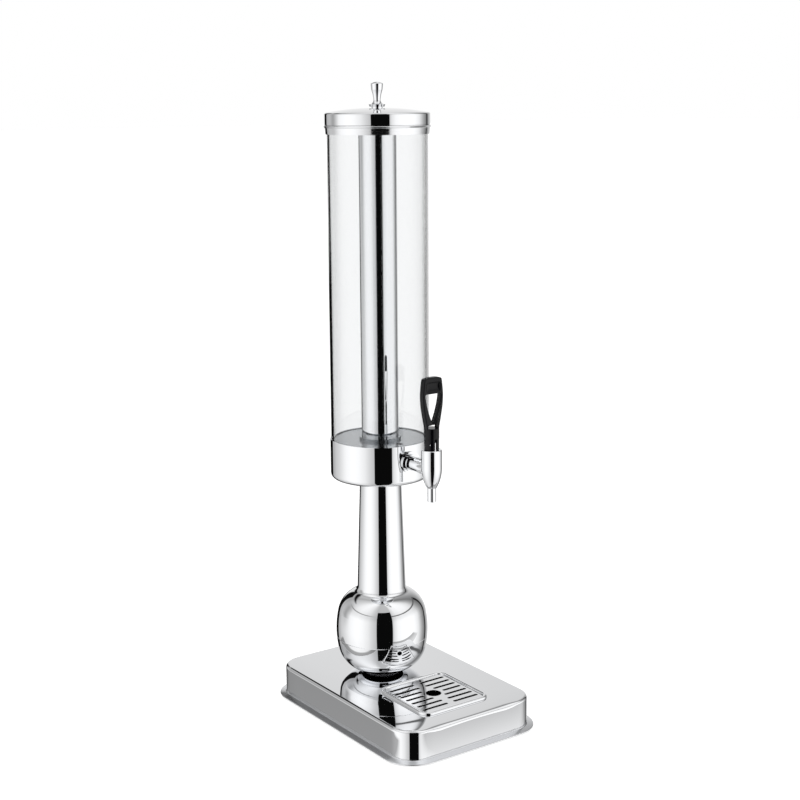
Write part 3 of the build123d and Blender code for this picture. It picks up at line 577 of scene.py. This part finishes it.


# Spring: wound from spring steel wire. It stands on the plunger under the bonnet, which presses it
# together as the lever lifts the valve; it is built here at rest, fixed to the tower.

tap_y = -60.0
spring_radius = 4.4
spring_wire = 0.45
spring_low = 318.25
spring_high = 334.45
spring_turns = 6
wire_sides = 8
steps_a_turn = 28
wire_colour = (0.5, 0.5, 0.51, 1.0)


def wire_section(share):
    """Points round the wire at a share of its way up."""
    angle = math.tau * spring_turns * share
    rise = spring_low + (spring_high - spring_low) * share
    points = []
    for side in range(wire_sides):
        lean = -math.tau * side / wire_sides
        radius = spring_radius + spring_wire * math.cos(lean)
        points.append((math.cos(angle) * radius, tap_y + math.sin(angle) * radius,
                       rise + spring_wire * math.sin(lean)))
    return points


coil_steps = spring_turns * steps_a_turn
coil_rows = [wire_section(number / coil_steps) for number in range(coil_steps + 1)]
wire_start = list(reversed(range(wire_sides)))
wire_end = [coil_steps * wire_sides + side for side in range(wire_sides)]
coil_mesh = skinned("closing_spring", coil_rows, ring=False, lids=[wire_start, wire_end])
spring_steel = plain_steel("spring_wire", wire_colour, 0.25)
closing_spring = add_piece("closing_spring", smoothed(coil_mesh, spring_steel))
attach(closing_spring, "tower")
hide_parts("valve_spring")
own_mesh(closing_spring)


# Lever: glossy black moulded plastic, a flat loop with rounded stiles and a scooped finger
# grip on a round foot. The foot is slotted over the stem's lug and turns there on a
# steel pin.

lever_foot = 343.4
lever_collar = 369.0
slot_head = 356.0
foot_bury = 0.3
foot_radius = 8.75
foot_swell = 0.25
foot_edge = 0.25
foot_top_edge = 0.9
foot_slot = 2.7
foot_steps = 40
loop_half = 4.0
loop_edge = 1.6
lever_rows = [
    (366.5, 8.6), (372.0, 9.5), (379.0, 11.0), (387.0, 12.55), (396.0, 14.0), (405.0, 14.6),
    (412.0, 14.45), (420.0, 13.6), (425.5, 12.8), (427.4, 11.9),
]
lever_crown = [(428.6, 9.0), (429.2, 4.5), (429.3, 0.0)]
window_rows = [
    (374.6, 0.6), (377.5, 2.2), (383.0, 4.4), (389.0, 6.5), (396.0, 8.5), (402.0, 9.8),
    (407.0, 10.6), (408.9, 10.3), (409.5, 9.4),
]
grip_middle = 417.6
grip_half_x = 9.6
grip_half_z = 5.4
grip_corner = 2.0
grip_scoop = 2.6
scoop_lap = 0.8
scoop_rim = 0.35
scoop_sides = 6
scoop_ends = 2.2
scoop_fullness = 0.8
scoop_lean = 0.25
scoop_across = 24
scoop_down = 16
lever_colour = (0.002, 0.002, 0.003, 1.0)


def smooth_side(rows, count=6):
    """Points of a smooth curve through rows of (height, half width)."""
    points = []
    for number in range(len(rows) - 1):
        before = rows[max(number - 1, 0)]
        start = rows[number]
        end = rows[number + 1]
        after = rows[min(number + 2, len(rows) - 1)]
        for step in range(count):
            share = step / count
            points.append(tuple(
                0.5 * (2 * s + (e - b) * share + (2 * b - 5 * s + 4 * e - a) * share**2
                       + (3 * s - b - 3 * e + a) * share**3)
                for b, s, e, a in zip(before, start, end, after)))
    points.append(rows[-1])
    return points


def both_sides(side):
    """A closed outline from the points of its right side, from the foot up."""
    right = [(x, z) for z, x in side]
    return right + [(-x, z) for x, z in reversed(right) if x > 0.001]


def scoop_point(u, v):
    """Point of the grip's hollow, u across and v up from its middle. It is deepest above it."""
    deep = (1 - abs(u) ** scoop_sides) * (1 - abs(v) ** scoop_ends) ** scoop_fullness
    deep *= 1.0 + scoop_lean * v
    return (u * (grip_half_x + scoop_lap), grip_middle + v * (grip_half_z + scoop_lap),
            loop_half - scoop_rim - grip_scoop * deep)


def half_disc(side):
    """Outline of the foot on one side of its slot."""
    start = math.asin(foot_slot / 2 / foot_radius)
    angles = [start - math.pi / 2 + (math.pi - 2 * start) * number / foot_steps
              for number in range(foot_steps + 1)]
    points = [(side * math.cos(angle) * foot_radius, math.sin(angle) * foot_radius)
              for angle in angles]
    return points if side > 0 else list(reversed(points))


loop_outline = both_sides(smooth_side(lever_rows + lever_crown))
window_outline = both_sides(smooth_side(window_rows))
grip_loop = rounded_loop(grip_half_x, grip_half_z, grip_corner, turns=6, steps=4)
loop_outlines = [loop_outline, window_outline, moved(grip_loop, (0.0, grip_middle))]
scoop_rows = [[scoop_point(2 * column / scoop_across - 1, 2 * row / scoop_down - 1)
               for column in range(scoop_across + 1)] for row in range(scoop_down + 1)]
foot_disc = disc_outline(foot_radius + foot_swell, count=64)
foot_head = slot_head + foot_bury
upright_meshes = [
    flat_plate("loop", loop_outlines, -loop_half, loop_half, loop_edge, steps=6),
    skinned("grip", scoop_rows, tube=False, ring=False),
]
level_meshes = [
    flat_plate("foot_top", [foot_disc], slot_head, lever_collar, foot_top_edge, steps=4),
    flat_plate("foot_right", [half_disc(1)], lever_foot, foot_head, foot_edge, steps=2),
    flat_plate("foot_left", [half_disc(-1)], lever_foot, foot_head, foot_edge, steps=2),
]
at_tap = Matrix.Translation((0.0, tap_y / 1000, 0.0))
stood_up = at_tap @ Matrix.Rotation(math.radians(90), 4, "X")
black_gloss = moulded("black_gloss", lever_colour, rough=0.05, sheen=0.26)
lever_pieces = []
for mesh in upright_meshes + level_meshes:
    mesh.transform(stood_up if mesh in upright_meshes else at_tap)
    lever_pieces.append(add_piece(mesh.name, smoothed(mesh, black_gloss, "yz")))
tap_lever = lever_pieces[0]
with bpy.context.temp_override(active_object=tap_lever, object=tap_lever,
                               selected_objects=lever_pieces,
                               selected_editable_objects=lever_pieces):
    bpy.ops.object.join()
tap_lever.name = "tap_lever"
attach(tap_lever, "lever")
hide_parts("lever_handle")
finish(spun_steel, "lever_pin")


# Camera: at the photograph's viewing angle, a little above the lid and aimed at the middle
# of the tower.

look_azimuth = math.radians(35.488)
look_down = math.radians(11.659)
look_roll = math.radians(-0.399)
camera_place = Vector((-1.0090, -1.4123, 0.7503))
picture_width = 800
focal_pixels = 1485.7
sensor = 36.0
far_clip = 50.0

forward = Vector((
    math.sin(look_azimuth) * math.cos(look_down),
    math.cos(look_azimuth) * math.cos(look_down),
    -math.sin(look_down),
))
level_right = Vector((math.cos(look_azimuth), -math.sin(look_azimuth), 0.0))
level_up = level_right.cross(forward)
right = level_right * math.cos(look_roll) + level_up * math.sin(look_roll)
up = level_up * math.cos(look_roll) - level_right * math.sin(look_roll)
turned = Matrix((right, up, -forward)).transposed().to_4x4()
camera = bpy.data.objects.new("photo_view", bpy.data.cameras.new("photo_view"))
camera.matrix_world = Matrix.Translation(camera_place) @ turned
camera.data.sensor_width = sensor
camera.data.lens = focal_pixels * sensor / picture_width
camera.data.clip_end = far_clip
scene = bpy.context.scene
scene.collection.objects.link(camera)
scene.camera = camera
scene.view_settings.view_transform = "Standard"


# Studio walls: white paper all round, greyer in places, with a dark gap in front of the
# tower and black flags that draw the dark lines in the polished steel. Angles go round
# from the camera's side, to the right positive, and up from the horizon.

side_stops = [
    (-180, 0.90), (-163, 0.80), (-150, 0.60), (-134, 0.46), (-125, 0.60), (-109, 0.74),
    (-95, 0.90), (-84, 1.02), (-66, 1.10), (-50, 1.04), (-35, 0.90), (-27, 0.76), (-14, 0.56),
    (27, 0.58), (32, 0.82), (41, 1.02), (60, 1.12), (80, 1.12), (92, 1.05), (104, 0.88),
    (119, 0.44), (131, 0.22), (146, 0.36), (160, 0.66), (179.9, 0.90),
]
height_stops = [
    (-85, 0.70), (-45, 0.80), (-28, 0.94), (-16, 1.0), (6, 1.0), (19, 0.84), (27, 0.80),
    (45, 0.90), (85, 0.95),
]
# Each flag: turns, softness of its ends, heights, softness of its edges, how much its lower
# edge climbs for each degree of turn, and its tone.
flags = [
    ((-122.0, -100.0), 9.0, (-10.0, 30.0), 8.0, 0.0, 0.38),
    ((-13.0, 27.5), 0.4, (-95.0, 47.0), 0.4, 0.0, 0.003),
    ((-185.0, -141.5), 1.2, (-95.0, -6.0), 1.2, 0.0, 0.004),
    ((-160.0, -141.5), 1.2, (-8.0, 30.0), 1.2, 0.0, 0.004),
    ((-180.0, -108.0), 4.0, (26.5, 42.5), 2.0, 0.21, 0.006),
    ((-110.0, -30.0), 12.0, (28.0, 31.0), 1.0, 0.0, 0.25),
    ((134.0, 141.5), 1.0, (-95.0, 30.0), 1.0, 0.0, 0.02),
    ((27.0, 141.5), 1.0, (27.0, 31.0), 1.0, 0.0, 0.12),
]
above_all = 180.0
to_camera = Vector((-math.sin(look_azimuth), -math.cos(look_azimuth), 0.0))


def studio_math(tree, operation, first, second=0.0):
    """One sum in a node tree, of numbers or outputs."""
    node = tree.nodes.new("ShaderNodeMath")
    node.operation = operation
    for socket, value in zip(node.inputs, (first, second)):
        if isinstance(value, float):
            socket.default_value = value
        else:
            tree.links.new(value, socket)
    return node.outputs["Value"]


def along(tree, direction, axis):
    """Share of a direction along one axis."""
    dot = tree.nodes.new("ShaderNodeVectorMath")
    dot.operation = "DOT_PRODUCT"
    dot.inputs[1].default_value = axis
    tree.links.new(direction, dot.inputs[0])
    return dot.outputs["Value"]


def tones(tree, source, stops):
    """Grey tones between stops of (share, tone)."""
    ramp = tree.nodes.new("ShaderNodeValToRGB")
    ramp.color_ramp.elements.remove(ramp.color_ramp.elements[0])
    for number, (place, tone) in enumerate(stops):
        if number == 0:
            stop = ramp.color_ramp.elements[0]
            stop.position = place
        else:
            stop = ramp.color_ramp.elements.new(place)
        stop.color = (tone, tone, tone, 1.0)
    tree.links.new(source, ramp.inputs["Fac"])
    return ramp.outputs["Color"]


def between(tree, value, low, high, soft):
    """1 where a value lies between two limits, with soft edges."""
    masks = []
    for limit, inside in ((low, 1.0), (high, -1.0)):
        step = tree.nodes.new("ShaderNodeMapRange")
        step.inputs["From Min"].default_value = limit - soft * inside
        step.inputs["From Max"].default_value = limit + soft * inside
        tree.links.new(value, step.inputs["Value"])
        masks.append(step.outputs["Result"])
    return studio_math(tree, "MULTIPLY", *masks)


def mixed(tree, factor, first, second, blend="MIX"):
    """Two colours brought together by a factor."""
    mix = tree.nodes.new("ShaderNodeMix")
    mix.data_type = "RGBA"
    mix.blend_type = blend
    for socket, value in (("Factor", factor), ("A", first), ("B", second)):
        if isinstance(value, bpy.types.NodeSocket):
            tree.links.new(value, mix.inputs[socket])
        else:
            mix.inputs[socket].default_value = value
    return mix.outputs["Result"]


world = bpy.data.worlds.new("studio")
scene.world = world
world.use_nodes = True
sky = world.node_tree
towards = sky.nodes.new("ShaderNodeTexCoord").outputs["Generated"]
upwards = along(sky, towards, (0.0, 0.0, 1.0))
turn = studio_math(sky, "MULTIPLY", studio_math(
    sky, "ARCTAN2", along(sky, towards, level_right), along(sky, towards, to_camera)),
    math.degrees(1.0))
height = studio_math(sky, "MULTIPLY", studio_math(sky, "ARCSINE", upwards), math.degrees(1.0))
turn_share = studio_math(sky, "ADD", studio_math(sky, "DIVIDE", turn, 360.0), 0.5)
height_share = studio_math(sky, "ADD", studio_math(sky, "DIVIDE", upwards, 2.0), 0.5)
side_tones = tones(sky, turn_share, [(degrees / 360 + 0.5, tone) for degrees, tone in side_stops])
height_tones = tones(sky, height_share, [
    (math.sin(math.radians(degrees)) / 2 + 0.5, tone) for degrees, tone in height_stops])
walls = mixed(sky, 1.0, side_tones, height_tones, "MULTIPLY")
for turns, turn_soft, heights, height_soft, climb, tone in flags:
    climbed = studio_math(sky, "MULTIPLY", studio_math(sky, "SUBTRACT", turn, turns[0]), climb)
    lowered = studio_math(sky, "SUBTRACT", height, climbed)
    in_height = studio_math(sky, "MULTIPLY", between(sky, height, *heights, height_soft),
                            between(sky, lowered, heights[0], above_all, height_soft))
    on_flag = studio_math(sky, "MULTIPLY", between(sky, turn, *turns, turn_soft), in_height)
    walls = mixed(sky, on_flag, walls, (tone, tone, tone, 1.0))
path = sky.nodes.new("ShaderNodeLightPath").outputs
bounces = studio_math(sky, "ADD", path["Glossy Depth"], path["Diffuse Depth"])
unreflected = studio_math(sky, "LESS_THAN", bounces, 0.5)
white_paper = mixed(sky, unreflected, walls, (1.0, 1.0, 1.0, 1.0))
sky.links.new(white_paper, sky.nodes["Background"].inputs["Color"])


# Studio floor: white paper that shows the tower's shadow. Polished steel sees the walls
# through it, with painted shade beside the base's left wall and along its front. A strip or
# stretch has a start, an end and a softness, in metres.

floor_reach = 30.0
base_side = -0.105
base_front = -0.149
left_strip = (-0.005, 0.065, 0.005)
left_stretch = (-0.115, 0.26, 0.01)
left_shade_tone = 0.42
front_strip = (-0.002, 0.12, 0.004)
front_stretch = (-0.06, 0.30, 0.02)
front_fall = (0.24, 0.56)
front_fall_end = 0.10
paper_colour = (0.8, 0.8, 0.8, 1.0)
paper_glow = 0.6

floor_paper = bpy.data.materials.new("floor_paint")
floor_paper.use_nodes = True
paper = floor_paper.node_tree
paper.nodes.remove(paper.nodes["Principled BSDF"])


def paper_shader(kind, inputs):
    """A shader of the floor; inputs pairs a socket with a number, a colour or an output."""
    node = paper.nodes.new(kind)
    for socket, value in inputs:
        if isinstance(value, bpy.types.NodeSocket):
            paper.links.new(value, node.inputs[socket])
        else:
            node.inputs[socket].default_value = value
    return node.outputs[0]


ray = paper.nodes.new("ShaderNodeLightPath").outputs
place = add_node(floor_paper, "ShaderNodeTexCoord").outputs["Object"]
apart = add_node(floor_paper, "ShaderNodeSeparateXYZ")
paper.links.new(place, apart.inputs["Vector"])
spot_x, spot_y = apart.outputs["X"], apart.outputs["Y"]
past_left = studio_math(paper, "SUBTRACT", base_side, spot_x)
past_front = studio_math(paper, "SUBTRACT", base_front, spot_y)
# Painted shade, seen only in reflections: darker strips beside the base's left wall and along its
# front.
by_left = studio_math(paper, "MULTIPLY", between(paper, past_left, *left_strip),
                      between(paper, spot_y, *left_stretch))
by_front = studio_math(paper, "MULTIPLY", between(paper, past_front, *front_strip),
                       between(paper, spot_x, *front_stretch))
left_shade = ranged(floor_paper, by_left, 0.0, 1.0, 1.0, left_shade_tone)
front_depth = ranged(floor_paper, past_front, 0.0, front_fall_end, *front_fall)
front_shade = studio_math(paper, "SUBTRACT", 1.0,
                         studio_math(paper, "MULTIPLY", by_front, front_depth))
seen_through = paper_shader("ShaderNodeBsdfTransparent", [
    ("Color", studio_math(paper, "MULTIPLY", left_shade, front_shade))])
matt = paper_shader("ShaderNodeBsdfDiffuse", [("Color", paper_colour)])
glow = paper_shader("ShaderNodeEmission", [
    ("Strength", studio_math(paper, "MULTIPLY", ray["Is Camera Ray"], paper_glow))])
plain = paper_shader("ShaderNodeAddShader", [(0, matt), (1, glow)])
whole = paper_shader("ShaderNodeMixShader", [
    (0, ray["Is Glossy Ray"]), (1, plain), (2, seen_through)])
paper.links.new(whole, paper.nodes["Material Output"].inputs["Surface"])
floor_corners = [(x * floor_reach, y * floor_reach, 0)
                 for x, y in ((-1, -1), (1, -1), (1, 1), (-1, 1))]
floor_mesh = bpy.data.meshes.new("floor")
floor_mesh.from_pydata(floor_corners, [], [(0, 1, 2, 3)])
floor_mesh.materials.append(floor_paper)
floor = add_piece("floor", floor_mesh)
floor.visible_transmission = False


# Lamp: one large soft box above the left of the camera, which shades the matt pieces and
# gives the floor its shadow. The steel doesn't mirror it.

lamp_side = 1.6
lamp_watts = 18.0
lamp_place = (-1.4, -1.0, 2.2)
lamp_aim = Vector((0.0, 0.0, 0.3))

lamp_data = bpy.data.lights.new("soft_lamp", "AREA")
lamp_data.shape = "RECTANGLE"
lamp_data.size = lamp_side
lamp_data.size_y = lamp_side
lamp_data.energy = lamp_watts
lamp = bpy.data.objects.new("soft_lamp", lamp_data)
lamp.location = lamp_place
lamp.rotation_euler = (lamp_aim - lamp.location).to_track_quat("-Z", "Y").to_euler()
lamp.visible_glossy = False
scene.collection.objects.link(lamp)
